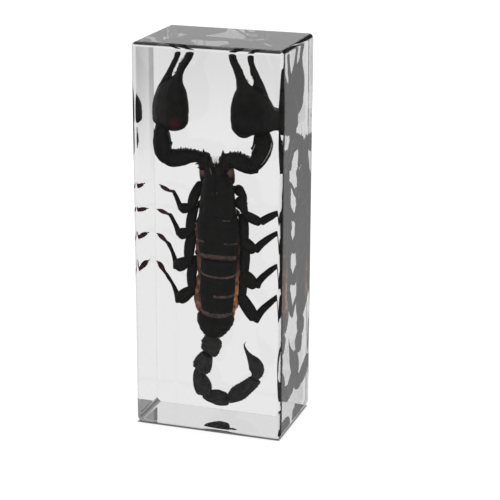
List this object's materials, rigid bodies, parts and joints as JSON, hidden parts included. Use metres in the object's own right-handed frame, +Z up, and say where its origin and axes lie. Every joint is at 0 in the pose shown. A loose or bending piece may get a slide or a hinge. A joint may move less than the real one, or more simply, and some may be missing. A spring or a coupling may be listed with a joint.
{
  "type": "scorpion in resin block",
  "caption": "Upright clear resin block with polished rounded edges and a dried black scorpion sealed inside, seen from its back.",
  "frame": {"origin": "centre of the flat base, on the surface that the block stands on", "axes": "+Z up along the block's height, +X to the viewer's right along its width, -Y out of the front face through which the scorpion's back is seen"},
  "size_m": [0.043, 0.028, 0.11],
  "materials": {
    "clear_resin": "polished clear cast resin"
  },
  "bodies": {
    "root": {"resin_block": "clear_resin"}
  },
  "joints": []
}
